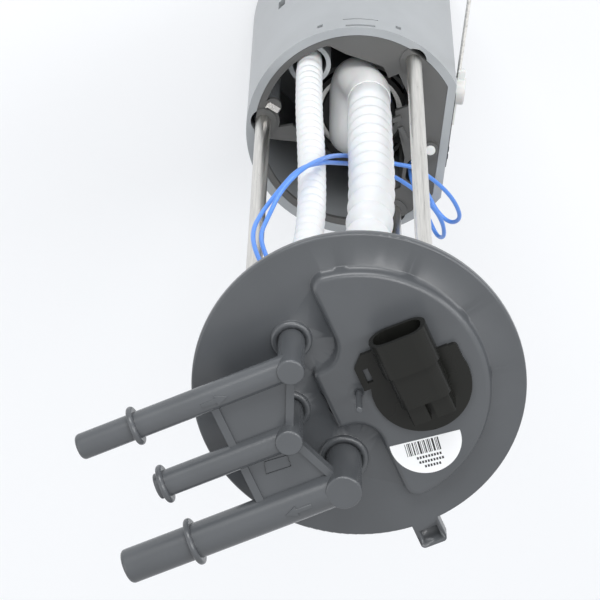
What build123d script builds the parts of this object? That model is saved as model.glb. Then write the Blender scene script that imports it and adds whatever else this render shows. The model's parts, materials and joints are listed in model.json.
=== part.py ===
from build123d import *
import math
import os

# Fuel pump module, upright as it hangs in a tank. Millimetres.
# +Z is the module's axis, out of the tank. The origin is on that axis, on the
# cover's seat, which is the flat underside of its flange. The three pipes run
# towards -X. The electrical socket opens towards +Y.

# ---------------------------------------------------------------- cover
FLANGE_R = 60.0
FLANGE_T = 3.0
PILOT_R = 50.0
PILOT_WALL = 2.5
PILOT_DEPTH = 9.0
PLATEAU_R = 48.0
PLATEAU_H = 5.0
PLATEAU_WALL = 2.5
PLATEAU_LOBE_X = -13.3
PLATEAU_LOBE_Y = 13.0
PLATEAU_DRAFT = 16.0
CENTRE_PIN_R = 1.15
CENTRE_PIN_FOOT = 6.0
TAB_W = 10.0
TAB_REACH = 69.5
TAB_T = 6.0
TAB_X = 0.7

# ---------------------------------------------------------------- pipes
# name: (riser x, y, outer radius, bore radius, height of the pipe's axis, tip x)
PIPES = {
    "return": (-14.5, 27.0, 4.85, 3.2, 25.2, -96.2),
    "vapour": (-26.0, 2.0, 4.85, 3.2, 25.2, -77.0),
    "feed": (-16.0, -23.5, 6.5, 4.6, 24.7, -101.0),
}
RISER_TOP = 31.2
RISER_FOOT = 1.0
COLLAR_H = 2.0
COLLAR_EXTRA = 2.6
BEAD_X = -74.0
BEAD_EXTRA = 2.3
BEAD_W = 2.2
TIP_ROUND = 1.7
WEB_T = 1.8
WEB_RIB = 4.2
WEB_X = -47.0
WEB_Z = 24.2

# ---------------------------------------------------------------- electrical socket
SOCKET = (23.0, -5.0)
SOCKET_BASE_R = 18.0
SOCKET_BASE_T = 2.0
SOCKET_Z = FLANGE_T + PLATEAU_H
MOUTH_Y = 20.5
MOUTH_W = 21.4
MOUTH_H = 14.2
MOUTH_WALL = 1.7
BLADE_PITCH = 4.2

# ---------------------------------------------------------------- guide rods
ROD_R = 3.175
ROD_CIRCLE = 40.0
ROD_ANGLES = (30.0, 150.0, 270.0)
ROD_BOSS_R = 7.0
ROD_BOSS_DEPTH = 20.0
ROD_TOP = -1.0
ROD_RUN = 0.06
ROD_END = -262.0
CLIP_Z = -259.3
CLIP_T = 1.0

# ---------------------------------------------------------------- reservoir
CUP_R = 47.0
CUP_WALL = 2.0
CUP_RIM = -246.0
CUP_H = 128.0
CUP_FLOOR_T = 2.5
FOOT_H = 3.0
RIM_WIDTH = 3.6
RIM_DEPTH = 5.0
FLAT_ANGLE = -30.0
FLAT_D = 39.3
GUIDE_BORE = 5.3
GUIDE_WALL = 1.3
DECK_T = 2.5
DECK_GAP = 0.15
DECK_BOSS_DEPTH = 12.0
GUIDE_TOP = -248.6
CARRIER_R = 24.0
CARRIER_TOP = -292.0
CARRIER_LOW = -318.0
RETURN_TUBE_R = 9.0
RETURN_TUBE_TOP = -251.0
RETURN_TUBE_LOW = -300.0
RETURN_NIPPLE_TOP = -254.0
PLUG_SPOT = (25.7, -19.1)
PLUG_R = 2.2
CLIP_SPOT = (-28.2, 24.4)
INLET = (23.5, 7.0)

# ---------------------------------------------------------------- hoses
FEED_HOSE_R = 9.25
FEED_CUFF_R = 6.3
RETURN_HOSE_R = 5.6
RETURN_CUFF_R = 3.4
ELBOW_R = 9.0
ELBOW_TOP = -232.0
ELBOW_END = -285.0
ELBOW_LEAN = (5.2, 18.9, -269.5)
ELBOW_RUN_Z = -266.0
ELBOW_RADII = [24.0, 12.0, 12.0]
FEED_DROP = (12.3, 15.8)
OUTLET = (-7.7, -10.8)
RETURN_SOCKET = (-7.1, 34.2)
NIPPLE_END = -24.0

WIRE_R = 0.9

# ---------------------------------------------------------------- roll-over valve
VENT_R = 11.5
VENT_SOCKET = 10.0
VENT_TOP = -4.3
VENT_LENGTH = 30.0
VENT_SPRING_H = 6.0
VENT_SEAT = -10.4
VENT_FLOAT_LOW = VENT_TOP - VENT_LENGTH + VENT_SPRING_H + 1.6

# ---------------------------------------------------------------- level sender
SENDER_Z = -280.0
SENDER_T = 1.2
HUB_SPOT = 12.0
HUB_Z = -277.0
HUB_R = 6.0
ARM_PLANE = 41.9
ARM_WIRE_R = 0.9
ARM_LENGTH = 104.0
FLOAT_SIZE = (16.0, 34.0, 22.0)
WIRE_HOLES = (-13.0, -9.5)
WIRE_HOLE_Z = -262.0

# ---------------------------------------------------------------- pump
PUMP = (-2.6, -9.2)
PUMP_R = 19.0
PUMP_TOP = -296.0
PUMP_BOTTOM = -358.0
PUMP_WALL = 1.2
ISOLATOR_R = 22.0
SHAFT_R = 1.6
BRUSH_R = 1.9
BRUSH_SPOT = (-3.0, 9.8)
OUTLET_TOP = -278.6
COMMUTATOR_TOP = -308.0
STACK_TOP = -316.0
STACK_LOW = -338.0
IMPELLER_Z = -352.0
SUCTION = (-10.6, -13.2)
SUCTION_R = 5.0
SUCTION_LOW = -365.5
STRAINER_Z = -367.8

CUP_FLOOR = CUP_RIM - CUP_H
GUIDE_FLOOR = CUP_FLOOR + CUP_FLOOR_T + 1.0
ROD_SPOTS = [
    (ROD_CIRCLE * math.cos(math.radians(a)), ROD_CIRCLE * math.sin(math.radians(a)))
    for a in ROD_ANGLES
]
BASE = (Align.CENTER, Align.CENTER, Align.MIN)


def rod(radius, low, high, spot=(0.0, 0.0)):
    """Upright cylinder between two heights."""
    return Pos(spot[0], spot[1], low) * Cylinder(radius, high - low, align=BASE)


def pipe_wall(outer, inner, low, high, spot=(0.0, 0.0)):
    """Upright tube between two heights."""
    return rod(outer, low, high, spot) - rod(inner, low - 1, high + 1, spot)


def block(size, centre):
    return Pos(*centre) * Box(*size)


def lying(radius, x_low, x_high, y, z):
    """Cylinder along X."""
    middle = (x_low + x_high) / 2
    return Pos(middle, y, z) * Rot(0, 90, 0) * Cylinder(radius, x_high - x_low)


def slab(sketch, low, high):
    """A flat outline carried from one height to another."""
    return extrude(Pos(0, 0, low) * sketch, high - low)


def save(shape, name):
    os.makedirs("parts", exist_ok=True)
    export_step(shape, f"parts/{name}.step")


# ================================================================ cover side
def plateau_outline():
    """The raised land: a half disc with a lobe that reaches in between the risers."""
    half = Circle(PLATEAU_R) & (Pos(PLATEAU_R - 0.7, 0) * Rectangle(2 * PLATEAU_R, 2 * PLATEAU_R))
    lobe = Pos(PLATEAU_LOBE_X / 2, 1.2) * Rectangle(-PLATEAU_LOBE_X, 2 * PLATEAU_LOBE_Y)
    outline = half + lobe
    tips = outline.vertices().filter_by(lambda v: abs(v.Y) > PLATEAU_R - 4)
    outline = fillet(tips, 6.0)
    valleys = outline.vertices().filter_by(lambda v: v.X > -1 and abs(v.Y) < PLATEAU_LOBE_Y + 3)
    outline = fillet(valleys, 8.5)
    lobe_corners = outline.vertices().filter_by(lambda v: v.X < PLATEAU_LOBE_X + 1)
    return fillet(lobe_corners, 2.6)


def nipple(x, y, hose_bore, low):
    """Barbed hose nipple that hangs under the cover."""
    stem = rod(hose_bore - 0.5, low, 0.5, (x, y))
    for step in range(3):
        barb_low = low + 0.6 + 4.0 * step
        barb = Pos(x, y, barb_low) * Cone(hose_bore - 0.5, hose_bore, 2.6, align=BASE)
        stem += barb
    return stem


def cover():
    disc = Cylinder(FLANGE_R, FLANGE_T, align=BASE)
    disc = chamfer(disc.edges().group_by(Axis.Z)[0], 0.4)
    disc = fillet(disc.edges().group_by(Axis.Z)[-1], 1.0)
    outline = plateau_outline()
    land = extrude(Pos(0, 0, FLANGE_T) * outline, PLATEAU_H, taper=PLATEAU_DRAFT)
    land = fillet(land.edges().group_by(Axis.Z)[-1], 2.2) + slab(outline, FLANGE_T - 0.5, FLANGE_T)
    body = disc + land
    hollow = offset(outline, -PLATEAU_WALL - 1.2, kind=Kind.ARC)
    body -= slab(hollow, -1, FLANGE_T + PLATEAU_H - PLATEAU_WALL)
    body += pipe_wall(PILOT_R, PILOT_R - PILOT_WALL, -PILOT_DEPTH, 0.5)
    for spot in ROD_SPOTS:
        body += rod(ROD_BOSS_R, -ROD_BOSS_DEPTH, FLANGE_T - 0.5, spot)
    ribs = Circle(0.1)
    for angle in range(15, 360, 30):
        ribs += Rot(0, 0, angle) * Pos(PILOT_R / 2, 0) * Rectangle(PILOT_R - 2, 1.8)
    body += slab(ribs, -4.0, FLANGE_T - 0.5)
    body += slab(ribs & outline, FLANGE_T - 1.0, FLANGE_T + PLATEAU_H - 1.0)
    body += rod(12.5, -4.0, FLANGE_T + PLATEAU_H - 1) - rod(10.5, -5.0, FLANGE_T + PLATEAU_H - 2.5)
    body += tab()
    risers = [(name, sizes[:4]) for name, sizes in PIPES.items()]
    for name, (x, y, radius, bore) in risers:
        collar = rod(radius + COLLAR_EXTRA, 0, FLANGE_T + COLLAR_H, (x, y))
        body += fillet(collar.edges().group_by(Axis.Z)[-1], 1.2)
    for name, cuff in (("feed", FEED_CUFF_R), ("return", RETURN_CUFF_R)):
        x, y = PIPES[name][:2]
        body += nipple(x, y, cuff, NIPPLE_END)
    x, y = PIPES["vapour"][:2]
    vent_socket = rod(VENT_R - 1.5, -VENT_SOCKET, 0.5, (x, y))
    body += vent_socket - rod(VENT_R - 3.2, -VENT_SOCKET - 1, -0.5, (x, y))
    body += rod(4.6, VENT_SEAT, 0.5, (x, y))
    for name, (x, y, radius, bore) in risers:
        body -= rod(radius, RISER_FOOT, 20, (x, y))
        passage = RETURN_CUFF_R - 1.4 if name == "return" else bore
        body -= rod(passage, NIPPLE_END - 1, 5, (x, y))
    for spot in ROD_SPOTS:
        body -= rod(ROD_R, -ROD_BOSS_DEPTH - 1, ROD_TOP, spot)
    body -= slab(socket_opening(), -20, 20)
    body -= connector_seal()
    dish = Pos(0, 0, FLANGE_T + PLATEAU_H + 19.4) * Sphere(20.0)
    body -= dish
    return body - rod(CENTRE_PIN_R, CENTRE_PIN_FOOT, FLANGE_T + PLATEAU_H + 1)


def centre_pin():
    """Slim pin that stands in the dish at the middle of the cover."""
    pin = rod(CENTRE_PIN_R, CENTRE_PIN_FOOT, FLANGE_T + PLATEAU_H + 13.5)
    return fillet(pin.edges().group_by(Axis.Z)[-1], 0.5)


def tab():
    """Locating tab with a square pocket, which turns the cover to its place in the tank."""
    length = TAB_REACH - FLANGE_R + 3.0
    shape = block((TAB_W, length, TAB_T), (TAB_X, -TAB_REACH + length / 2, 0))
    shape = fillet(shape.edges().filter_by(Axis.Z).group_by(Axis.Y)[0], 1.6)
    pocket = block((TAB_W - 3.0, 5.4, TAB_T), (TAB_X, -TAB_REACH + 4.6, 1.2))
    return shape - pocket


# ---------------------------------------------------------------- pipe block
def bead(x, y, z, radius):
    ring = lying(radius + BEAD_EXTRA, x - BEAD_W / 2, x + BEAD_W / 2, y, z)
    return fillet(ring.edges().filter_by(GeomType.CIRCLE), 1.0)


def pipe_block():
    solid = None
    holes = []
    for name, (x, y, radius, bore, z, tip) in PIPES.items():
        riser = rod(radius, RISER_FOOT, RISER_TOP, (x, y))
        riser = fillet(riser.edges().group_by(Axis.Z)[-1], 0.8)
        run = lying(radius, BEAD_X, x, y, z) + Pos(x, y, z) * Sphere(radius)
        end = lying(radius - 0.1, tip, BEAD_X, y, z)
        end = fillet(end.edges().group_by(Axis.X)[0], TIP_ROUND if name != "vapour" else 0.5)
        pipe = riser + run + end + bead(BEAD_X, y, z, radius)
        solid = pipe if solid is None else solid + pipe
        holes.append(lying(bore, tip - 1, x, y, z) + Pos(x, y, z) * Sphere(bore))
        holes.append(rod(bore, RISER_FOOT - 1, z, (x, y)))
    solid += web("return", "vapour") + web("vapour", "feed")
    for hole in holes:
        solid -= hole
    return solid


def web(upper, lower):
    """Panel between two pipes, with a thicker edge at its open end and by the risers."""
    x_up, y_up, r_up = PIPES[upper][:3]
    x_low, y_low, r_low = PIPES[lower][:3]
    panel = make_face(Polyline((WEB_X, y_up), (x_up, y_up), (x_low, y_low), (WEB_X, y_low), close=True))
    plate = slab(panel, WEB_Z - WEB_T / 2, WEB_Z + WEB_T / 2)
    middle = (y_up + y_low) / 2
    height = y_up - y_low - r_up - r_low + 2.0
    edge = block((2.8, height, WEB_RIB), (WEB_X + 1.4, middle, WEB_Z))
    reach = math.hypot(x_up - x_low, y_up - y_low)
    lean = math.degrees(math.atan2(y_up - y_low, x_up - x_low))
    tie = Pos((x_up + x_low) / 2, middle, WEB_Z) * Rot(0, 0, lean) * Box(reach, 2.8, WEB_RIB)
    return plate + edge + tie


# ---------------------------------------------------------------- electrical socket
def socket_opening():
    return Pos(SOCKET[0], -3.0) * RectangleRounded(20.0, 12.0, 3.0)


def shroud(width, height, y_low, y_high, z_low, corner):
    outline = Pos(SOCKET[0], z_low + height / 2) * RectangleRounded(width, height, corner)
    return extrude(Plane.XZ.offset(-y_low) * outline, -(y_high - y_low))


def connector_shell():
    base = Pos(SOCKET[0] - 1.0, SOCKET[1], SOCKET_Z) * Cylinder(SOCKET_BASE_R, SOCKET_BASE_T, align=BASE)
    base &= block((60, 29.0, 10), (SOCKET[0], 6.0 - 14.5, SOCKET_Z))
    lug = block((9.0, 13.5, SOCKET_BASE_T), (7.0, 7.6, SOCKET_Z + SOCKET_BASE_T / 2))
    lug = chamfer(lug.edges().filter_by(Axis.Z).group_by(Axis.X)[0].group_by(Axis.Y)[-1], 4.0)
    corner = block((8.0, 11.0, SOCKET_BASE_T), (35.6, 0.2, SOCKET_Z + SOCKET_BASE_T / 2))
    corner = fillet(corner.edges().filter_by(Axis.Z).group_by(Axis.Y)[-1], 1.5)
    base = base + lug + corner
    base -= block((2.2, 5.6, 10), (5.9, 6.0, SOCKET_Z))
    upper = shroud(MOUTH_W, MOUTH_H, 6.6, MOUTH_Y, SOCKET_Z + 1.2, 6.2)
    lower = shroud(MOUTH_W - 2.4, MOUTH_H - 1.4, -6.8, 6.8, SOCKET_Z + 1.2, 4.6)
    heel = shroud(MOUTH_W - 5.0, MOUTH_H - 3.2, -14.2, -6.6, SOCKET_Z + 1.2, 1.2)
    heel -= block((2.4, 9.0, 8.0), (SOCKET[0], -11.5, SOCKET_Z + 12.0))
    skirt = slab(Pos(SOCKET[0], -3.0) * RectangleRounded(19.8, 11.8, 2.9), -8.0, SOCKET_Z + 1.0)
    body = base + upper + lower + heel + skirt
    room_w = MOUTH_W - 2 * MOUTH_WALL
    room_h = MOUTH_H - 2 * MOUTH_WALL
    body -= shroud(room_w, room_h, 0.5, MOUTH_Y + 1, SOCKET_Z + 1.2 + MOUTH_WALL, 4.6)
    body -= block((16.0, 8.0, 9.0), (SOCKET[0], -3.0, -8.0))
    for blade in terminal_shapes():
        body -= blade
    return body


def terminal_shapes():
    """Four blades: each stands up through the shell and turns into the mouth."""
    blades = []
    z = SOCKET_Z + 1.2 + MOUTH_H / 2
    for step in range(4):
        x = SOCKET[0] + BLADE_PITCH * (step - 1.5)
        flat = block((1.5, 18.0, 0.8), (x, 4.6, z))
        post = block((1.5, 0.8, z + 7.0 + 0.4), (x, -4.0, (z + 0.4 - 7.0) / 2))
        blades.append(flat + post)
    return blades


def connector_seal():
    ring = Pos(SOCKET[0], -3.0) * (RectangleRounded(24.0, 16.0, 5.0) - RectangleRounded(21.0, 13.0, 3.5))
    return slab(ring, SOCKET_Z - 1.2, SOCKET_Z)


# ---------------------------------------------------------------- roll-over vent valve
def vent_body():
    """Cup under the vapour riser, open at the top, with slots low in its wall."""
    spot = PIPES["vapour"][:2]
    low = VENT_TOP - VENT_LENGTH
    cup = rod(VENT_R, low, VENT_TOP, spot)
    cup = fillet(cup.edges().group_by(Axis.Z)[0], 1.5)
    cup -= rod(VENT_R - 1.5, low + 1.5, VENT_TOP + 1, spot)
    for turn in range(4):
        slot = Rot(0, 0, 45 + 90 * turn) * block((40, 3.0, 6.0), (0, 0, low + 7.0))
        cup -= Pos(*spot) * slot
    return cup


def vent_float():
    """Float with a cone on top that shuts the vapour passage."""
    spot = PIPES["vapour"][:2]
    low = VENT_FLOAT_LOW
    shape = rod(VENT_R - 2.3, low, low + 13.0, spot)
    shape = fillet(shape.edges(), 1.0)
    tip = Pos(spot[0], spot[1], low + 12.5) * Cone(4.0, 1.2, 3.0, align=BASE)
    return shape + tip - rod(4.4, low - 1, low + 4.0, spot)


def coil(radius, wire, low, high, turns, spot=(0.0, 0.0)):
    """Open-coiled compression spring with flat ends."""
    height = high - low - 2 * wire
    path = Pos(spot[0], spot[1], low + wire) * Helix(height / turns, height, radius)
    section = Plane(origin=path @ 0, z_dir=path % 0) * RegularPolygon(wire, 6)
    spring = sweep(section, path=path, is_frenet=True)
    return spring


def vent_spring():
    """Light spring under the float, between the cup's floor and the float's recess."""
    low = VENT_TOP - VENT_LENGTH + 1.55
    return coil(3.4, 0.35, low, VENT_FLOAT_LOW + 3.95, 4, PIPES["vapour"][:2])


# ================================================================ guide rods
def guide_rod(spot):
    shape = rod(ROD_R, ROD_END, ROD_TOP, spot)
    shape = chamfer(shape.edges().group_by(Axis.Z)[0], 0.6)
    groove = pipe_wall(ROD_R + 1, ROD_R - 0.6, CLIP_Z, CLIP_Z + CLIP_T, spot)
    return shape - groove


def rod_clip(spot):
    """Snap ring in the rod's groove, which stops the rod from leaving its guide."""
    ring = pipe_wall(GUIDE_BORE - 0.35, ROD_R - 0.6, CLIP_Z, CLIP_Z + CLIP_T, spot)
    return ring - Pos(*spot) * block((4, 12, 4), (0, -6, CLIP_Z))


# ================================================================ reservoir
def inside_flat(radius, inset=0.0):
    """Plan of the reservoir: a circle with one flat side."""
    half = Pos(FLAT_D - inset - 100.0, 0) * Rectangle(200.0, 200.0)
    return Circle(radius) & (Rot(0, 0, FLAT_ANGLE) * half)


def reservoir_cup():
    body = slab(inside_flat(CUP_R), CUP_FLOOR, CUP_RIM)
    body = fillet(body.edges().group_by(Axis.Z)[0], 1.6)
    hollow = slab(inside_flat(CUP_R - CUP_WALL, CUP_WALL), CUP_FLOOR + CUP_FLOOR_T, CUP_RIM + 1)
    body -= hollow
    lip = inside_flat(CUP_R - 0.5, 0.5) - inside_flat(CUP_R - RIM_WIDTH, RIM_WIDTH)
    body += slab(lip, CUP_RIM - RIM_DEPTH, CUP_RIM)
    for spot in ROD_SPOTS:
        body += rod(GUIDE_BORE + GUIDE_WALL, CUP_FLOOR + 0.5, GUIDE_TOP, spot) & slab(
            inside_flat(CUP_R - 0.5, 0.5), CUP_FLOOR, CUP_RIM
        )
    body += rod(RETURN_TUBE_R, RETURN_TUBE_LOW, RETURN_TUBE_TOP, RETURN_SOCKET)
    for spot in ROD_SPOTS:
        body -= rod(GUIDE_BORE, GUIDE_FLOOR, CUP_RIM + 1, spot)
    tube_height = RETURN_TUBE_TOP - RETURN_TUBE_LOW
    body += block((6.0, 5.0, tube_height), (-7.6, 43.0, (RETURN_TUBE_TOP + RETURN_TUBE_LOW) / 2))
    body -= rod(RETURN_TUBE_R - 1.9, RETURN_TUBE_LOW + 3.0, CUP_RIM + 1, RETURN_SOCKET)
    body += rod(RETURN_CUFF_R, RETURN_TUBE_LOW + 1.0, RETURN_NIPPLE_TOP, RETURN_SOCKET)
    body -= rod(RETURN_CUFF_R - 1.4, RETURN_TUBE_LOW - 1.0, RETURN_NIPPLE_TOP + 1, RETURN_SOCKET)
    body -= latch_windows()
    for angle in (90.0, 210.0, 330.0):
        foot = Rot(0, 0, angle) * block((10.0, 6.0, FOOT_H + 1.0), (32.0, 0, CUP_FLOOR - FOOT_H / 2 + 0.5))
        body += foot
    body -= inlet_holes()
    for spot in WIRE_HOLES:
        body -= on_flat(Pos(FLAT_D, spot, WIRE_HOLE_Z) * Rot(0, 90, 0) * Cylinder(WIRE_R + 0.3, 8.0))
    for side in (-1, 1):
        body += on_flat(block((1.6, 2.0, 34.0), (FLAT_D + 0.4, side * 18.05, SENDER_Z)))
    return body


def latch_windows():
    """Snap windows under the rim, where the deck's latches show."""
    cuts = radial_window(86.2, -254.4, 2.4, 3.2) + radial_window(45.1, -254.4, 2.4, 3.2)
    cuts += radial_window(65.0, -248.6, 12.4, 1.8)
    cuts += radial_window(65.0, -256.4, 15.0, 0.9)
    cuts += radial_window(111.0, -314.0, 4.0, 9.0)
    return cuts


def radial_window(angle, z, width, height):
    return Rot(0, 0, angle) * block((12.0, width, height), (CUP_R, 0, z))


def on_flat(shape):
    """Places a shape drawn with its X along the flat's normal and its Y along the flat."""
    return Rot(0, 0, FLAT_ANGLE) * shape


def inlet_holes():
    holes = None
    for turn in range(6):
        hole = Rot(0, 0, 60 * turn) * rod(2.0, CUP_FLOOR - 1, CUP_FLOOR + 5, (6.2, 0))
        holes = hole if holes is None else holes + hole
    holes += rod(1.6, CUP_FLOOR - 1, CUP_FLOOR + 5)
    return Pos(INLET[0], INLET[1], 0) * holes


def deck_outline():
    """Right-hand part of the mouth, its arm to the left guide and the ring that ties them."""
    full = inside_flat(CUP_R - RIM_WIDTH - DECK_GAP, RIM_WIDTH + DECK_GAP)
    opening = make_face(Polyline(
        (-2, 60), (-1.5, 43.0), (5.0, 39.6), (9.5, 34.0), (16.0, 28.0), (21.8, 22.5), (21.8, 12.0),
        (17.5, -1.0), (14.0, -19.0), (7.0, -31.0), (-7.0, -31.0), (-9.0, -45.0), (-9.0, -60.0),
        (-70, -60), (-70, 60), close=True,
    ))
    plate = full - opening
    ring = full - Circle(40.6)
    left = Pos(*ROD_SPOTS[1]) * Circle(ROD_BOSS_R) + Pos(*CLIP_SPOT) * Circle(3.6)
    arm = make_face(Polyline(
        (-34.5, 16.0), (-24.0, 13.5), (-21.5, 6.5), (-25.5, 6.0), (-36.0, 12.0), close=True,
    ))
    return plate + ring + (left & full) + arm


def reservoir_deck():
    body = slab(deck_outline(), CUP_RIM - DECK_T, CUP_RIM)
    for spot in ROD_SPOTS:
        body += rod(GUIDE_BORE - 0.1, CUP_RIM - DECK_BOSS_DEPTH, CUP_RIM - 1, spot)
        body += rod(GUIDE_BORE + 0.6, CUP_RIM - 1, CUP_RIM + 0.8, spot) & slab(
            inside_flat(CUP_R - RIM_WIDTH - DECK_GAP, RIM_WIDTH + DECK_GAP), CUP_RIM - 2, CUP_RIM + 2
        )
    x, y = PUMP
    body += pipe_wall(CARRIER_R, CARRIER_R - 1.8, CARRIER_LOW, CARRIER_TOP, PUMP)
    for angle, reach in ((-62.0, 30.0), (8.0, 30.0), (140.0, 28.0)):
        fin_width = reach - CARRIER_R + 0.8
        fin_height = CUP_RIM - 1.0 - CARRIER_LOW
        fin = block((fin_width, 2.0, fin_height), (reach - fin_width / 2, 0, CARRIER_LOW + fin_height / 2))
        body += Pos(x, y) * Rot(0, 0, angle) * fin
    body -= pipe_wall(200.0, CUP_R - RIM_WIDTH - DECK_GAP, -400, 0)
    body -= block((9.0, 15.0, 20), (22.0, 9.6, CUP_RIM))
    body -= slab(Pos(14.4, -25.6) * Rot(0, 0, 58) * SlotOverall(10.0, 4.4), CUP_RIM - 5, CUP_RIM + 2)
    body += rod(PLUG_R + 1.2, CUP_RIM - 1, CUP_RIM + 2.6, PLUG_SPOT)
    body -= rod(PLUG_R, CUP_RIM - 5, CUP_RIM + 4, PLUG_SPOT)
    for low, high in (((15.6, -2.0), (20.0, 0.0)), ((17.0, -12.0), (19.0, -5.0))):
        middle = ((low[0] + high[0]) / 2, (low[1] + high[1]) / 2, CUP_RIM + 0.6)
        body += block((high[0] - low[0], high[1] - low[1], 2.0), middle)
    for spot in ROD_SPOTS:
        body -= rod(ROD_R + ROD_RUN, CUP_RIM - DECK_BOSS_DEPTH - 1, CUP_RIM + 5, spot)
    return body


def deck_plug():
    """White plug in the deck's round boss."""
    plug = rod(PLUG_R, CUP_RIM - DECK_T, CUP_RIM + 3.4, PLUG_SPOT)
    return fillet(plug.edges().group_by(Axis.Z)[-1], 0.6)


def deck_clip():
    """Steel leaf beside the left-hand guide."""
    leaf = block((6.0, 2.6, 0.6), (0, 0, CUP_RIM + 0.3))
    leaf += block((0.6, 2.6, 2.2), (2.7, 0, CUP_RIM + 1.1))
    return Pos(*CLIP_SPOT) * Rot(0, 0, 124.5) * leaf


# ---------------------------------------------------------------- floor inlet valve
def umbrella_valve():
    """Rubber umbrella over the floor's inlet holes; it lifts to let fuel in."""
    top = CUP_FLOOR + CUP_FLOOR_T
    cap = rod(9.0, top + 0.05, top + 1.3, INLET)
    cap = fillet(cap.edges().group_by(Axis.Z)[-1], 0.9)
    stem = rod(1.5, CUP_FLOOR - 1.4, top + 0.5, INLET)
    knob = Pos(INLET[0], INLET[1], CUP_FLOOR - 2.4) * Cone(0.8, 1.5, 1.2, align=BASE)
    return cap + stem + knob


# ================================================================ pump
def pump_casing():
    shell = pipe_wall(PUMP_R, PUMP_R - PUMP_WALL, PUMP_BOTTOM, PUMP_TOP, PUMP)
    lips = pipe_wall(PUMP_R, PUMP_R - 2.6, PUMP_TOP, PUMP_TOP + 1.0, PUMP)
    lips += pipe_wall(PUMP_R, PUMP_R - 2.6, PUMP_BOTTOM - 1.0, PUMP_BOTTOM, PUMP)
    return shell + lips


def pump_isolator():
    """Ribbed rubber sleeve that holds the pump in its carrier."""
    sleeve = pipe_wall(ISOLATOR_R - 0.9, PUMP_R, CARRIER_LOW - 4.0, CARRIER_TOP + 1.0, PUMP)
    rib_height = CARRIER_TOP - CARRIER_LOW + 2.0
    for turn in range(12):
        rib = block((1.4, 2.4, rib_height), (ISOLATOR_R - 0.8, 0, (CARRIER_TOP + CARRIER_LOW) / 2))
        sleeve += Pos(*PUMP) * Rot(0, 0, 30 * turn) * rib
    sleeve += pipe_wall(CARRIER_R - 0.4, PUMP_R, CARRIER_LOW - 4.0, CARRIER_LOW - 0.1, PUMP)
    sleeve &= rod(CARRIER_R - 0.4, -400, 0, PUMP)
    return sleeve - pipe_wall(60, CARRIER_R - 1.9, CARRIER_LOW, CARRIER_TOP, PUMP)


def outlet_cap():
    """Plastic end of the pump: outlet nipple, brush towers and the shaft's upper bearing."""
    body = rod(PUMP_R - PUMP_WALL, PUMP_TOP - 12.0, PUMP_TOP, PUMP)
    body += rod(PUMP_R - 2.6, PUMP_TOP - 1, PUMP_TOP + 3.0, PUMP)
    body = fillet(body.edges().group_by(Axis.Z)[-1], 1.0)
    for spot in brush_spots():
        tower = block((8.0, 7.0, 6.5), (*spot, PUMP_TOP + 5.0))
        body += fillet(tower.edges().filter_by(Axis.Z), 1.5)
    body += rod(FEED_CUFF_R + 1.0, PUMP_TOP + 1.0, PUMP_TOP + 6.0, OUTLET)
    body += rod(FEED_CUFF_R - 0.03, PUMP_TOP + 5.0, OUTLET_TOP, OUTLET)
    body -= rod(PUMP_R - 4.5, PUMP_TOP - 13, PUMP_TOP - 9.5, PUMP)
    body -= rod(SHAFT_R + 0.05, PUMP_TOP - 13, PUMP_TOP - 2.9, PUMP)
    body -= rod(4.6, PUMP_TOP + 2.0, OUTLET_TOP + 1, OUTLET)
    body -= rod(2.0, PUMP_TOP - 13, PUMP_TOP + 3.0, OUTLET)
    for spot in brush_spots():
        body -= rod(BRUSH_R + 0.1, PUMP_TOP - 13, PUMP_TOP + 6.0, spot)
    for blade in pump_blade_shapes():
        body -= blade
    return body


def brush_spots():
    return [(PUMP[0] + BRUSH_SPOT[0] * side, PUMP[1] + BRUSH_SPOT[1] * side) for side in (-1, 1)]


def brush(spot):
    """Carbon brush, pressed on the commutator by its spring."""
    return rod(BRUSH_R, COMMUTATOR_TOP + 0.05, COMMUTATOR_TOP + 7.0, spot)


def pump_blade_shapes():
    """Push-on blades on top of the brush towers."""
    spots = zip((-1, 1), brush_spots())
    return [block((4.8, 0.8, 8.0), (x, y + 2.6 * side, PUMP_TOP + 9.0)) for side, (x, y) in spots]


def armature():
    """Shaft, slotted lamination stack, windings and face commutator."""
    body = rod(SHAFT_R, PUMP_BOTTOM + 1.0, PUMP_TOP - 3.0, PUMP)
    stack = rod(11.4, STACK_LOW, STACK_TOP, PUMP)
    slot_height = STACK_TOP - STACK_LOW + 2.0
    for turn in range(10):
        slot = block((3.6, 2.0, slot_height), (10.6, 0, (STACK_TOP + STACK_LOW) / 2))
        stack -= Pos(*PUMP) * Rot(0, 0, 36 * turn) * slot
    ends = rod(8.8, STACK_LOW - 4.0, STACK_TOP + 4.0, PUMP)
    ends = fillet(ends.edges(), 1.6)
    disc = rod(12.6, COMMUTATOR_TOP - 3.0, COMMUTATOR_TOP, PUMP)
    for turn in range(8):
        gap = Rot(0, 0, 45 * turn) * block((9.0, 0.6, 2.4), (9.4, 0, COMMUTATOR_TOP))
        disc -= Pos(*PUMP) * gap
    hub = rod(4.4, STACK_TOP + 3.0, COMMUTATOR_TOP - 1.0, PUMP)
    return body + stack + ends + disc + hub


def magnets():
    """Two arc magnets inside the casing."""
    ring = pipe_wall(PUMP_R - PUMP_WALL - 0.02, 12.4, STACK_LOW - 2.0, STACK_TOP + 2.0, PUMP)
    for side in (-1, 1):
        ring -= Pos(*PUMP) * block((6.0, 12.0, 60.0), (0, 15.0 * side, (STACK_LOW + STACK_TOP) / 2))
    return ring


def impeller():
    wheel = rod(14.5, IMPELLER_Z, IMPELLER_Z + 3.2, PUMP)
    for turn in range(24):
        notch = Rot(0, 0, 15 * turn) * block((2.6, 1.6, 5.0), (14.2, 0, IMPELLER_Z + 1.6))
        wheel -= Pos(*PUMP) * notch
    return wheel - rod(SHAFT_R, IMPELLER_Z - 1, IMPELLER_Z + 5, PUMP)


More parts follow.
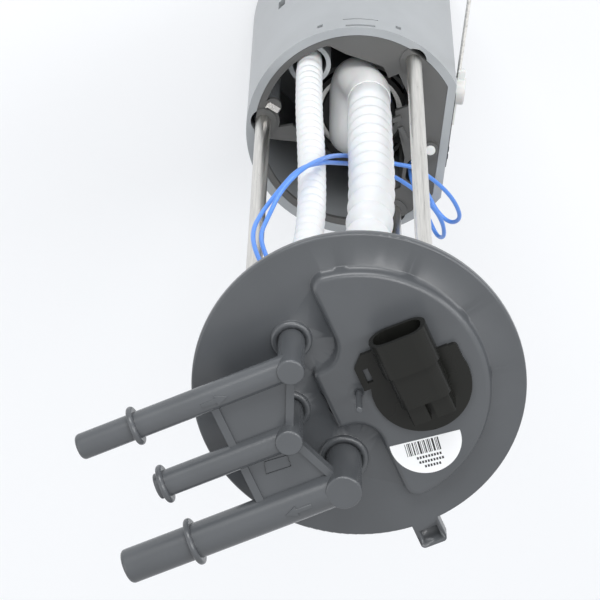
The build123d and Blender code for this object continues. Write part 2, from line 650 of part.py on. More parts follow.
def inlet_cap():
    """Bottom of the pump: the impeller's chamber, its flow channel and the suction port."""
    x, y = PUMP
    body = rod(PUMP_R - PUMP_WALL, PUMP_BOTTOM, IMPELLER_Z + 7.0, PUMP)
    body += rod(PUMP_R - 2.6, PUMP_BOTTOM - 3.0, PUMP_BOTTOM + 1, PUMP)
    body -= rod(14.7, IMPELLER_Z - 0.15, IMPELLER_Z + 3.35, PUMP)
    body -= rod(SHAFT_R + 0.05, PUMP_BOTTOM + 0.6, IMPELLER_Z + 8, PUMP)
    channel = pipe_wall(14.7, 11.8, IMPELLER_Z - 1.6, IMPELLER_Z + 4.8, PUMP)
    body -= channel
    body += rod(SUCTION_R, SUCTION_LOW, PUMP_BOTTOM - 2.0, SUCTION)
    body -= rod(SUCTION_R - 1.6, SUCTION_LOW - 1, IMPELLER_Z, SUCTION)
    body -= rod(2.0, IMPELLER_Z, IMPELLER_Z + 8.0, (x - 12.8, y))
    return body


def strainer():
    """Flat filter bag under the pump, on a clip ring round the suction port."""
    bag = block((34.0, 24.0, 4.4), (-3.0, -6.0, STRAINER_Z))
    bag = fillet(bag.edges().filter_by(Axis.Z), 9.0)
    bag = fillet(bag.edges().group_by(Axis.Z)[0] + bag.edges().group_by(Axis.Z)[-1], 1.8)
    collar = rod(SUCTION_R + 1.4, STRAINER_Z + 1.0, PUMP_BOTTOM - 3.05, SUCTION)
    return bag + collar - rod(SUCTION_R, SUCTION_LOW - 0.05, PUMP_BOTTOM, SUCTION)


# ---------------------------------------------------------------- outlet check valve
def check_poppet():
    z = PUMP_TOP + 6.2
    head = Pos(OUTLET[0], OUTLET[1], z) * Cone(2.6, 3.6, 2.4, align=BASE)
    return head + rod(1.1, z + 2.0, z + 8.0, OUTLET)


def check_seat():
    z = PUMP_TOP + 2.0
    ring = pipe_wall(4.6, 2.0, z, z + 4.4, OUTLET)
    return ring - Pos(OUTLET[0], OUTLET[1], PUMP_TOP + 5.95) * Cone(2.5, 3.9, 2.6, align=BASE)


def check_cage():
    z = PUMP_TOP + 15.0
    cage = pipe_wall(4.6, 1.2, z, z + 1.6, OUTLET)
    for turn in range(3):
        hole = Rot(0, 0, 120 * turn) * rod(1.2, z - 1, z + 3, (2.9, 0))
        cage -= Pos(*OUTLET) * hole
    return cage


# ================================================================ level sender
def at_hub(shape):
    """Places a shape drawn about the arm's pivot: X outward, Y along the flat."""
    return on_flat(Pos(0, HUB_SPOT, HUB_Z) * shape)


def sender_plate():
    plate = block((SENDER_T, 34.0, 46.0), (FLAT_D + SENDER_T / 2 + 0.02, 0, SENDER_Z))
    plate = fillet(plate.edges().filter_by(Axis.X), 3.0)
    plate -= block((1.2, 17.0, 26.0), (FLAT_D + SENDER_T, -4.0, SENDER_Z - 3.0))
    for spot in WIRE_HOLES:
        rivet = Pos(FLAT_D + SENDER_T, spot, WIRE_HOLE_Z) * Rot(0, 90, 0) * Cylinder(1.4, 1.2)
        plate += fillet(rivet.edges().group_by(Axis.X)[-1], 0.5)
    pivot = Pos(FLAT_D + 3.4, 0, 0) * Rot(0, 90, 0) * Cylinder(1.9, 4.4)
    return on_flat(plate) + at_hub(pivot)


def sender_card():
    """Ceramic card that carries the resistor track."""
    return on_flat(block((0.9, 16.8, 25.8), (FLAT_D + SENDER_T - 0.15, -4.0, SENDER_Z - 3.0)))


def sender_hub():
    """White hub that holds the arm and carries the wiper over the card."""
    low = FLAT_D + SENDER_T + 0.25
    drum = Pos(low + 2.4, 0, 0) * Rot(0, 90, 0) * Cylinder(HUB_R, 4.4)
    drum = fillet(drum.edges().filter_by(GeomType.CIRCLE).group_by(Axis.X)[-1], 0.8)
    carrier = block((1.6, 15.0, 7.0), (low + 1.2, -8.0, -2.0))
    keeper = block((3.0, 9.0, 4.4), (ARM_PLANE + 1.2, 5.0, 0))
    shape = drum + carrier + keeper
    shape -= Pos(low, 0, 0) * Rot(0, 90, 0) * Cylinder(1.95, 12.0)
    shape -= Pos(ARM_PLANE, 9.2, 0) * Rot(90, 0, 0) * Cylinder(ARM_WIRE_R, 13.6)
    return at_hub(shape)


def wiper():
    """Sprung contact fingers on the carrier."""
    low = FLAT_D + SENDER_T + 0.3
    strip = block((0.3, 9.0, 5.0), (low + 0.2, -12.0, -2.0))
    strip -= block((1.0, 6.0, 0.8), (low + 0.2, -14.0, -2.0))
    return at_hub(strip)


def float_arm():
    """Bent wire: out of the hub, along the flat, and turned out through the float."""
    start = (ARM_PLANE, 2.5, 0)
    bend = (ARM_PLANE, ARM_LENGTH, 0)
    end = (ARM_PLANE + 22.4, ARM_LENGTH, 0)
    path = FilletPolyline(start, bend, end, radius=4.0)
    wire = sweep(Plane(origin=path @ 0, z_dir=path % 0) * Circle(ARM_WIRE_R), path=path)
    return at_hub(wire)


def level_float():
    """Buoyant block on the arm's end; it turns on the wire."""
    centre = (ARM_PLANE + 13.0, ARM_LENGTH, 0)
    body = block(FLOAT_SIZE, centre)
    body = fillet(body.edges().filter_by(Axis.X), 5.0)
    ends = body.edges().group_by(Axis.X)
    body = fillet(ends[0] + ends[-1], 1.2)
    bore = Pos(*centre) * Rot(0, 90, 0) * Cylinder(ARM_WIRE_R + 0.05, 30.0)
    return at_hub(body - bore)


def float_nut():
    """Push-on ring that keeps the float on the wire."""
    nut = Pos(ARM_PLANE + 21.4, ARM_LENGTH, 0) * Rot(0, 90, 0) * Cylinder(2.6, 0.6)
    return at_hub(nut - Pos(ARM_PLANE + 21.4, ARM_LENGTH, 0) * Rot(0, 90, 0) * Cylinder(ARM_WIRE_R, 2))


# ================================================================ hoses and wires
FEED_ROUTE = [
    (-16.0, -23.5, -6.0), (-16.0, -23.5, -30.0), (-13.4, -19.0, -48.0), (-7.0, -8.8, -66.0),
    (2.8, 4.2, -88.0), (9.8, 12.8, -112.0), (12.8, 16.0, -142.0), (12.3, 15.8, -187.0),
    (12.3, 15.8, -232.0),
]
RETURN_ROUTE = [
    (-14.5, 27.0, -6.0), (-14.5, 27.0, -34.0), (-10.6, 26.2, -66.0), (-7.8, 26.8, -100.0),
    (-7.0, 29.4, -150.0), (-7.4, 33.0, -200.0), (-7.1, 34.2, -232.0), (-7.1, 34.2, -262.0),
]
WIRE_A_ROUTE = [
    (16.7, -4.0, -7.0), (16.7, -4.0, -22.0), (13.0, -3.0, -36.0), (3.0, 1.0, -46.0),
    (-10.0, 7.0, -52.0), (-20.0, 16.5, -56.0), (-25.5, 26.5, -63.0), (-28.2, 33.6, -75.0),
    (-28.6, 35.4, -90.0), (-25.4, 35.4, -103.0), (-17.5, 38.0, -111.5), (-7.8, 40.6, -120.5),
    (-0.7, 34.0, -135.0), (0.4, 21.3, -162.0), (1.7, 11.1, -183.0), (5.5, 3.8, -192.5),
    (9.8, -3.1, -199.5), (13.3, -10.9, -206.0), (16.6, -18.2, -209.0), (18.9, -25.1, -212.5),
    (20.3, -32.1, -216.0), (20.9, -38.9, -219.5), (20.4, -45.3, -223.0), (17.9, -52.5, -228.5),
    (14.5, -54.1, -235.0), (13.4, -49.9, -240.0), (13.7, -39.6, -241.5), (12.9, -28.8, -243.8),
    (13.4, -25.6, -255.0), (19.5, -26.2, -262.0), (27.4, -30.9, -262.0),
]
WIRE_B_ROUTE = [
    (20.9, -4.0, -7.0), (20.9, -4.0, -24.0), (16.0, -1.6, -40.0), (4.0, 3.6, -50.0), (-9.0, 9.6, -56.0),
    (-18.5, 18.0, -60.0), (-23.6, 26.5, -67.0), (-25.6, 32.0, -78.0), (-26.0, 33.4, -89.0),
    (-23.0, 34.0, -100.0), (-15.2, 39.6, -108.0), (-4.8, 42.9, -113.0), (1.8, 35.8, -134.0),
    (1.9, 21.2, -169.0), (2.0, 9.7, -194.0), (6.5, 5.0, -198.0), (11.2, 0.1, -202.0),
    (15.7, -5.1, -205.5), (21.5, -9.7, -207.5), (26.0, -18.8, -210.5), (28.9, -27.9, -214.0),
    (29.7, -37.0, -218.5), (28.0, -46.2, -225.5), (22.3, -49.5, -232.5), (18.4, -44.3, -237.0),
    (17.8, -35.0, -239.0), (15.2, -25.8, -243.6), (17.2, -21.6, -254.0), (22.4, -23.8, -262.0),
    (29.2, -27.8, -262.0),
]


def turn_radii(points):
    """Radius of each corner of a route: 0.45 of the shorter run over the half turn's tangent."""
    radii = []
    for before, corner, after in zip(points, points[1:], points[2:]):
        run_in = Vector(*corner) - Vector(*before)
        run_out = Vector(*after) - Vector(*corner)
        turn = math.radians(run_in.get_angle(run_out))
        radii.append(0.45 * min(run_in.length, run_out.length) / math.tan(turn / 2))
    return radii


def line_of(points):
    return FilletPolyline(*points, radius=turn_radii(points))


def along(path, radius):
    """Round bar that follows a path."""
    return sweep(Plane(origin=path @ 0, z_dir=path % 0) * Circle(radius), path=path)


def hose(points, outer, bore):
    path = line_of(points)
    return along(path, outer) - along(path, bore)


def wire(points):
    return along(line_of(points), WIRE_R)


def feed_elbow():
    """Smooth swan-neck from the hose down to the pump's outlet."""
    path = FilletPolyline(
        (*FEED_DROP, ELBOW_TOP), (*FEED_DROP, ELBOW_TOP - 10.0), ELBOW_LEAN,
        (*OUTLET, ELBOW_RUN_Z), (*OUTLET, ELBOW_END), radius=ELBOW_RADII,
    )
    return along(path, ELBOW_R) - along(path, FEED_CUFF_R)


# ================================================================ the pieces
BRUSH_SPOTS = brush_spots()
PIECES = {
    "cover": cover(),
    "centre_pin": centre_pin(),
    "pipe_block": pipe_block(),
    "connector_shell": connector_shell(),
    "connector_terminals": Compound(children=terminal_shapes()),
    "connector_seal": connector_seal(),
    "vent_body": vent_body(),
    "vent_float": vent_float(),
    "vent_spring": vent_spring(),
    "reservoir_cup": reservoir_cup(),
    "reservoir_deck": reservoir_deck(),
    "deck_plug": deck_plug(),
    "deck_clip": deck_clip(),
    "umbrella_valve": umbrella_valve(),
    "strainer": strainer(),
    "pump_isolator": pump_isolator(),
    "pump_casing": pump_casing(),
    "outlet_cap": outlet_cap(),
    "inlet_cap": inlet_cap(),
    "pump_blades": Compound(children=pump_blade_shapes()),
    "magnets": magnets(),
    "armature": armature(),
    "impeller": impeller(),
    "check_seat": check_seat(),
    "check_poppet": check_poppet(),
    "check_cage": check_cage(),
    "check_spring": coil(2.4, 0.3, PUMP_TOP + 8.65, PUMP_TOP + 14.95, 4, OUTLET),
    "feed_elbow": feed_elbow(),
    "sender_plate": sender_plate(),
    "sender_card": sender_card(),
    "sender_hub": sender_hub(),
    "wiper": wiper(),
    "float_arm": float_arm(),
    "float_nut": float_nut(),
    "level_float": level_float(),
    "feed_hose": hose(FEED_ROUTE, FEED_HOSE_R, FEED_CUFF_R),
    "return_hose": hose(RETURN_ROUTE, RETURN_HOSE_R, RETURN_CUFF_R),
    "sender_wire_a": wire(WIRE_A_ROUTE),
    "sender_wire_b": wire(WIRE_B_ROUTE),
}
for number, spot in enumerate(ROD_SPOTS, start=1):
    PIECES[f"guide_rod_{number}"] = guide_rod(spot)
    PIECES[f"rod_clip_{number}"] = rod_clip(spot)
    PIECES[f"guide_spring_{number}"] = coil(4.0, 0.6, GUIDE_FLOOR + 0.05, ROD_END - 0.05, 6, spot)
for number, spot in enumerate(BRUSH_SPOTS, start=1):
    PIECES[f"brush_{number}"] = brush(spot)
    PIECES[f"brush_spring_{number}"] = coil(1.4, 0.25, COMMUTATOR_TOP + 7.05, PUMP_TOP + 5.95, 6, spot)

for name, piece in PIECES.items():
    save(piece, name)

ROUTES = {
    "feed_hose": (FEED_ROUTE, FEED_HOSE_R),
    "return_hose": (RETURN_ROUTE, RETURN_HOSE_R),
    "sender_wire_a": (WIRE_A_ROUTE, WIRE_R),
    "sender_wire_b": (WIRE_B_ROUTE, WIRE_R),
}
for name, (route, radius) in ROUTES.items():
    length = line_of(route).length
    full = math.pi * radius**2 * length
    print(name, "length", round(length, 1), "radii", [round(r, 1) for r in turn_radii(route)])
    print(name, "volume", round(PIECES[name].volume, 1), "full section times length", round(full, 1))
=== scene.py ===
"""Looks of an in-tank fuel pump module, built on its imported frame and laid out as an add-on."""

import json
import math

import bmesh
import bpy
from bpy.props import FloatProperty, FloatVectorProperty, IntProperty, PointerProperty
from bpy.types import Operator, Panel, PropertyGroup
from mathutils import Matrix, Vector

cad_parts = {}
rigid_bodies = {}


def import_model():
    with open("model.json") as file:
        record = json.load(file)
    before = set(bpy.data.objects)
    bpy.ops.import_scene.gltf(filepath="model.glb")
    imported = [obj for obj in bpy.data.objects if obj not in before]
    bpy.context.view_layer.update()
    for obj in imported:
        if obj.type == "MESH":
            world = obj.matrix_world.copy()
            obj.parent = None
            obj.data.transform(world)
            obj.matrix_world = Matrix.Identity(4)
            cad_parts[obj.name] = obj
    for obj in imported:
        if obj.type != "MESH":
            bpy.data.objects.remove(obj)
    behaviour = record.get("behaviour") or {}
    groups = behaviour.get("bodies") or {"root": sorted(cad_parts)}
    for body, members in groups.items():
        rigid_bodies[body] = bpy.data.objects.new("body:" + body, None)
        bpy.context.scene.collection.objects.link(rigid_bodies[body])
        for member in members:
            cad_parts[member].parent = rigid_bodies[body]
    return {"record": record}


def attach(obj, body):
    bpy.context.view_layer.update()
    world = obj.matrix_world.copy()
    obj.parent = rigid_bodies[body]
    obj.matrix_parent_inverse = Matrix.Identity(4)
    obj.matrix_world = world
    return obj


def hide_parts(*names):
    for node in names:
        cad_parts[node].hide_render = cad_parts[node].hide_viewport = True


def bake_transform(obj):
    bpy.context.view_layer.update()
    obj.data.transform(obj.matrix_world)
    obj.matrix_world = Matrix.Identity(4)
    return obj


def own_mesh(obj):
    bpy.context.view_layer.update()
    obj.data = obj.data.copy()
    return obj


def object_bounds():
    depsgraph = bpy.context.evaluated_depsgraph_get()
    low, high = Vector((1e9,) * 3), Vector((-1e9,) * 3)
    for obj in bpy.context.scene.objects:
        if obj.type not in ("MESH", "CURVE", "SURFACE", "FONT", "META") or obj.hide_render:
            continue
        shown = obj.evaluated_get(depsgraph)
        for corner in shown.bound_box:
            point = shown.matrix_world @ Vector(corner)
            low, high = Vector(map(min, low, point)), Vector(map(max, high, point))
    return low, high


bl_info = {
    "name": "Fuel Pump Module",
    "version": (1, 0, 0),
    "blender": (4, 5, 0),
    "location": "View3D > Sidebar > Pump Module",
    "description": "Finishes, hoses, wires, label and stage of an in-tank fuel pump module",
    "category": "Object",
}

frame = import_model()
FRAME_BOX = [list(corner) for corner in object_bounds()]
FLOOR_GAP = 0.0004

# Heights on the cover: foot of the raised land, top of the ribs under it, top of the land.
LAND_FOOT = 0.0030
LAND_RIB_TOP = 0.0070
LAND_TOP = 0.0080
SAME_PLACE = 1e-6
SAME_HEIGHT = 2e-5
LEVEL = 0.999
UPRIGHT = 0.02

# Hose ripples: rings to a ripple, how full its lobe is, and the rounded rim of each end.
RINGS_TO_A_RIPPLE = 14
LOBE_FULLNESS = 0.9
HOSE_RIM = 0.0006
HOSE_RIM_PART = 0.3
HOSE_RUN_IN = 0.002
BORE_RINGS = 60
CURVE_STEPS = 24

# The label: its round edge's centre, its straight edge's turn and distance from that centre.
LABEL_CENTRE = (0.0145, -0.0265)
LABEL_TURN = math.radians(-7.8)
LABEL_CUT = 0.00095
BARS = [(1, 2), (1, 1), (2, 1), (1, 2), (2, 2), (1, 1), (1, 2), (3, 1), (1, 2), (1, 1), (2, 2), (1, 1),
        (2, 1), (1, 2), (3, 2), (1, 1), (1, 1), (2, 1)]
BAR_UNIT = 0.00024
BARS_START = -0.0078
BARS_ROW = -0.0022
BAR_HEIGHT = 0.0052
DASH_ROWS = [(9, -0.0044), (9, -0.0040), (6, -0.0024)]
DASH_TOP = -0.0062
DASH_DROP = 0.0019
DASH_STEP = 0.00105
DASH_WIDE = 0.0007
DASH_HIGH = 0.0010

# Flow arrows: tip, centre line, crest of the pipe and which way the shaft runs from the tip.
ARROWS = {
    "return_arrow": (-0.0385, 0.0270, 0.03005, -1),
    "feed_arrow": (-0.0385, -0.0235, 0.0312, 1),
}
ARROW_OUTLINE = [(0, 0), (0.0045, 0.0021), (0.0045, 0.0008), (0.0100, 0.0008), (0.0100, -0.0008),
                 (0.0045, -0.0008), (0.0045, -0.0021)]
ARROW_SUNK = 0.0009
EDGE_SHARE = 0.4

# Springs: the joint that presses each, the height of its still end, and how far it is pressed.
SPRINGS = {
    "guide_spring_1": ("reservoir_slide", -0.37045, 0.050),
    "guide_spring_2": ("reservoir_slide", -0.37045, 0.050),
    "guide_spring_3": ("reservoir_slide", -0.37045, 0.050),
    "check_spring": ("check_valve_lift", -0.28105, 0.003),
}

# The web's small panel: corners, and the rim's width, depth in the web and height above it.
WEB_TOP = 0.0251
WEB_PANEL = [(-0.0382, -0.0038), (-0.0395, -0.0085), (-0.0301, -0.0090), (-0.0296, -0.0045)]
WEB_PANEL_RIM = 0.0007
WEB_PANEL_SUNK = 0.0003
WEB_PANEL_PROUD = 0.0004

# Control points of each hose and wire, in metres, from the cover down to the reservoir.
FEED_ROUTE = [
    (-0.0160, -0.0235, -0.0060), (-0.0160, -0.0235, -0.0300), (-0.0134, -0.0190, -0.0480),
    (-0.0070, -0.0088, -0.0660), (0.0034, 0.0040, -0.0880), (0.0106, 0.0125, -0.1120),
    (0.0130, 0.0159, -0.1420), (0.0123, 0.0158, -0.1870), (0.0123, 0.0158, -0.2320),
]
RETURN_ROUTE = [
    (-0.0145, 0.0270, -0.0060), (-0.0145, 0.0270, -0.0340), (-0.0106, 0.0262, -0.0660),
    (-0.0078, 0.0268, -0.1000), (-0.0070, 0.0294, -0.1500), (-0.0074, 0.0330, -0.2000),
    (-0.0071, 0.0342, -0.2320), (-0.0071, 0.0342, -0.2620),
]
WIRE_A_ROUTE = [
    (0.0167, -0.0040, -0.0070), (0.0167, -0.0040, -0.0220), (0.0130, -0.0030, -0.0360),
    (0.0030, 0.0010, -0.0460), (-0.0100, 0.0070, -0.0520), (-0.0200, 0.0165, -0.0560),
    (-0.0255, 0.0265, -0.0630), (-0.0282, 0.0336, -0.0750), (-0.0286, 0.0354, -0.0900),
    (-0.0254, 0.0354, -0.1030), (-0.0175, 0.0380, -0.1115), (-0.0078, 0.0406, -0.1205),
    (-0.0007, 0.0340, -0.1350), (0.0004, 0.0213, -0.1620), (0.0017, 0.0111, -0.1830),
    (0.0055, 0.0038, -0.1925), (0.0098, -0.0031, -0.1995), (0.0133, -0.0109, -0.2060),
    (0.0166, -0.0182, -0.2090), (0.0189, -0.0251, -0.2125), (0.0203, -0.0321, -0.2160),
    (0.0209, -0.0389, -0.2195), (0.0204, -0.0453, -0.2230), (0.0179, -0.0525, -0.2285),
    (0.0145, -0.0541, -0.2350), (0.0134, -0.0499, -0.2400), (0.0137, -0.0396, -0.2415),
    (0.0129, -0.0288, -0.2438), (0.0134, -0.0256, -0.2550), (0.0195, -0.0262, -0.2620),
    (0.0274, -0.0309, -0.2620),
]
WIRE_B_ROUTE = [
    (0.0209, -0.0040, -0.0070), (0.0209, -0.0040, -0.0240), (0.0160, -0.0016, -0.0400),
    (0.0040, 0.0036, -0.0500), (-0.0090, 0.0096, -0.0560), (-0.0185, 0.0180, -0.0600),
    (-0.0236, 0.0265, -0.0670), (-0.0256, 0.0320, -0.0780), (-0.0260, 0.0334, -0.0890),
    (-0.0230, 0.0340, -0.1000), (-0.0152, 0.0396, -0.1080), (-0.0048, 0.0429, -0.1130),
    (0.0018, 0.0358, -0.1340), (0.0019, 0.0212, -0.1690), (0.0020, 0.0097, -0.1940),
    (0.0065, 0.0050, -0.1980), (0.0112, 0.0001, -0.2020), (0.0157, -0.0051, -0.2055),
    (0.0215, -0.0097, -0.2075), (0.0260, -0.0188, -0.2105), (0.0289, -0.0279, -0.2140),
    (0.0297, -0.0370, -0.2185), (0.0280, -0.0462, -0.2255), (0.0223, -0.0495, -0.2325),
    (0.0184, -0.0443, -0.2370), (0.0178, -0.0350, -0.2390), (0.0152, -0.0258, -0.2436),
    (0.0172, -0.0216, -0.2540), (0.0224, -0.0238, -0.2620), (0.0292, -0.0278, -0.2620),
]


# ---------------------------------------------------------------- sizes and colours
def length(name, description, default):
    return FloatProperty(name=name, description=description, default=default, unit="LENGTH", precision=5)


def colour(name, description, default):
    return FloatVectorProperty(
        name=name, description=description, default=default, subtype="COLOR", size=3, min=0, max=1
    )


class PUMP_PG_hoses(PropertyGroup):
    feed_radius: length("Feed Radius", "Outer radius over the feed hose's ripples", 0.00925)
    feed_bore: length("Feed Bore", "Radius inside the feed hose", 0.0063)
    feed_cuff: length("Feed Cuff", "Outer radius of the feed hose's smooth ends", 0.0088)
    feed_pitch: length("Feed Pitch", "Distance from one ripple of the feed hose to the next", 0.0103)
    feed_depth: length("Feed Ripple Depth", "Depth of the feed hose's valleys", 0.0017)
    feed_top_end: length("Feed Top End", "Smooth length under the cover", 0.0220)
    feed_low_end: length("Feed Low End", "Smooth length above the elbow", 0.0148)
    return_radius: length("Return Radius", "Outer radius over the return hose's ripples", 0.0056)
    return_bore: length("Return Bore", "Radius inside the return hose", 0.0034)
    return_cuff: length("Return Cuff", "Outer radius of the return hose's smooth ends", 0.0053)
    return_pitch: length("Return Pitch", "Distance from one ripple of the return hose to the next", 0.0063)
    return_depth: length("Return Ripple Depth", "Depth of the return hose's valleys", 0.0008)
    return_top_end: length("Return Top End", "Smooth length under the cover", 0.0200)
    return_low_end: length("Return Low End", "Smooth length above the reservoir", 0.0180)
    sides: IntProperty(name="Sides", description="Facets round each hose", default=48, min=12, max=96)
    colour: colour("Hose Colour", "Natural nylon of both hoses", (0.72, 0.73, 0.735))


class PUMP_PG_wires(PropertyGroup):
    diameter: length("Wire Diameter", "Diameter over the insulation", 0.0018)
    step: length("Step", "Distance between rings along a wire", 0.0014)
    sides: IntProperty(name="Sides", description="Facets round a wire", default=14, min=8, max=32)
    colour: colour("Wire Colour", "Insulation of both sender wires", (0.10, 0.27, 0.75))


class PUMP_PG_marks(PropertyGroup):
    label_radius: length("Label Radius", "Radius of the label's round edge", 0.01305)
    label_thickness: length("Label Thickness", "Thickness of the label's film", 0.00012)
    ink_thickness: length("Ink Thickness", "Height of the print above the label", 0.00002)
    arrow_height: length("Arrow Height", "Height of the flow arrows above the pipes", 0.0003)
    paper_colour: colour("Label Colour", "Film of the label", (0.88, 0.88, 0.88))
    ink_colour: colour("Ink Colour", "Print on the label", (0.012, 0.012, 0.014))


class PUMP_PG_mouldings(PropertyGroup):
    cover_colour: colour("Cover Colour", "Moulded cover, its pipes and its pin", (0.078, 0.083, 0.089))
    reservoir_colour: colour("Reservoir Colour", "Outside of the reservoir", (0.330, 0.345, 0.355))
    deck_colour: colour("Deck Colour", "Plate in the reservoir's mouth", (0.085, 0.085, 0.083))
    socket_colour: colour("Socket Colour", "Plug socket on the cover", (0.0115, 0.0118, 0.0105))
    elbow_colour: colour("Elbow Colour", "Hose elbow on the pump's outlet", (0.82, 0.82, 0.81))
    clear_colour: colour("Acetal Colour", "Natural acetal of the valves and plugs", (0.72, 0.72, 0.70))


class PUMP_PG_stage(PropertyGroup):
    lens: FloatProperty(name="Lens", description="Focal length on a 36 mm sensor", default=203.8, min=1)
    world_strength: FloatProperty(name="Room Light", description="Strength of the room's own light",
                                  default=0.47, min=0)
    key_power: FloatProperty(name="Key", description="Power of the main softbox", default=14, min=0,
                             subtype="POWER")
    fill_power: FloatProperty(name="Fill", description="Power of the softbox on the pipes' side",
                              default=3, min=0, subtype="POWER")
    side_power: FloatProperty(name="Side", description="Power of the softbox on the socket's side",
                              default=6, min=0, subtype="POWER")
    top_power: FloatProperty(name="Top", description="Power of the softbox above the cover",
                             default=8, min=0, subtype="POWER")
    floor_radius: length("Floor Radius", "Radius of the round floor", 6.0)
    floor_colour: colour("Floor Colour", "Pale plain floor", (0.93, 0.94, 0.95))


# Share of the floor's own brightness, its tints, and each softbox's place and size.
FLOOR_GLOW = 0.53
FLOOR_GLOW_TINT = (0.97, 0.98, 1.0, 1.0)
ROOM_TINT = (0.9, 0.94, 1.0, 1.0)
LAMPS_AIM = (0.0, 0.0, -0.05)
SOFTBOXES = {
    "key": ((0.35, 1.25, 0.62), (1.2, 0.55)),
    "side": ((1.25, 0.05, 0.75), (0.45, 1.1)),
    "fill": ((-1.2, 0.3, 0.7), (1.0, 1.0)),
    "top": ((0.45, 0.25, 1.25), (0.7, 0.7)),
}
SENSOR_WIDTH = 36.0
CAMERA_PLACE = (0.2036, 0.4880, 1.0963)
CAMERA_RIGHT = (0.9170, -0.3987, -0.0121)
CAMERA_UP = (0.3587, 0.8376, -0.4121)


# ---------------------------------------------------------------- node helpers
def new_material(name):
    material = bpy.data.materials.new(name)
    material.use_nodes = True
    nodes = material.node_tree.nodes
    return material, nodes, material.node_tree.links, nodes["Principled BSDF"]


def spot_noise(nodes, links, scale, detail=3.0, stretch=(1.0, 1.0, 1.0)):
    """Noise that reads Object coordinates, stretched by a Mapping node."""
    place = nodes.new("ShaderNodeTexCoord")
    mapping = nodes.new("ShaderNodeMapping")
    mapping.inputs["Scale"].default_value = stretch
    noise = nodes.new("ShaderNodeTexNoise")
    noise.inputs["Scale"].default_value = scale
    noise.inputs["Detail"].default_value = detail
    links.new(place.outputs["Object"], mapping.inputs["Vector"])
    links.new(mapping.outputs["Vector"], noise.inputs["Vector"])
    return noise


def ramp(nodes, links, source, low, high, start=0.35, end=0.65):
    blend = nodes.new("ShaderNodeValToRGB")
    blend.color_ramp.elements[0].position = start
    blend.color_ramp.elements[0].color = (*low, 1.0)
    blend.color_ramp.elements[1].position = end
    blend.color_ramp.elements[1].color = (*high, 1.0)
    links.new(source, blend.inputs["Fac"])
    return blend


def span(nodes, links, source, low, high):
    """Maps a 0 to 1 value on to low to high."""
    remap = nodes.new("ShaderNodeMapRange")
    remap.inputs["To Min"].default_value = low
    remap.inputs["To Max"].default_value = high
    links.new(source, remap.inputs["Value"])
    return remap


def shade(tone, factor):
    return tuple(min(1.0, c * factor) for c in tone)


def moulded(name, tone, roughness, grain=900.0, depth=0.05, mottle=0.06, soft=0.0, specular=0.5):
    """Moulded plastic or rubber: fine grain in the bump, faint drift in colour and gloss."""
    material, nodes, links, shader = new_material(name)
    shader.inputs["Metallic"].default_value = 0.0
    shader.inputs["IOR"].default_value = 1.5
    shader.inputs["Specular IOR Level"].default_value = specular
    shader.inputs["Subsurface Weight"].default_value = soft
    shader.inputs["Subsurface Scale"].default_value = 0.002
    drift = spot_noise(nodes, links, 38.0, 4.0)
    tint = ramp(nodes, links, drift.outputs["Fac"], shade(tone, 1 - mottle), shade(tone, 1 + mottle))
    links.new(tint.outputs["Color"], shader.inputs["Base Color"])
    gloss = span(nodes, links, drift.outputs["Fac"], roughness * 0.85, min(1.0, roughness * 1.2))
    links.new(gloss.outputs["Result"], shader.inputs["Roughness"])
    fine = spot_noise(nodes, links, grain, 2.0)
    bump = nodes.new("ShaderNodeBump")
    bump.inputs["Strength"].default_value = depth
    bump.inputs["Distance"].default_value = 0.0003
    links.new(fine.outputs["Fac"], bump.inputs["Height"])
    links.new(bump.outputs["Normal"], shader.inputs["Normal"])
    return material


def drawn_metal(name, tone, roughness, stretch=(1.0, 1.0, 0.04), scale=1500.0, depth=0.08):
    """Metal with fine lines left by drawing, grinding or rolling."""
    material, nodes, links, shader = new_material(name)
    shader.inputs["Metallic"].default_value = 1.0
    lines = spot_noise(nodes, links, scale, 3.0, stretch)
    tint = ramp(nodes, links, lines.outputs["Fac"], shade(tone, 0.86), shade(tone, 1.08))
    links.new(tint.outputs["Color"], shader.inputs["Base Color"])
    gloss = span(nodes, links, lines.outputs["Fac"], roughness * 0.7, roughness * 1.35)
    links.new(gloss.outputs["Result"], shader.inputs["Roughness"])
    bump = nodes.new("ShaderNodeBump")
    bump.inputs["Strength"].default_value = depth
    bump.inputs["Distance"].default_value = 0.0001
    links.new(lines.outputs["Fac"], bump.inputs["Height"])
    links.new(bump.outputs["Normal"], shader.inputs["Normal"])
    return material


MATERIALS = {}


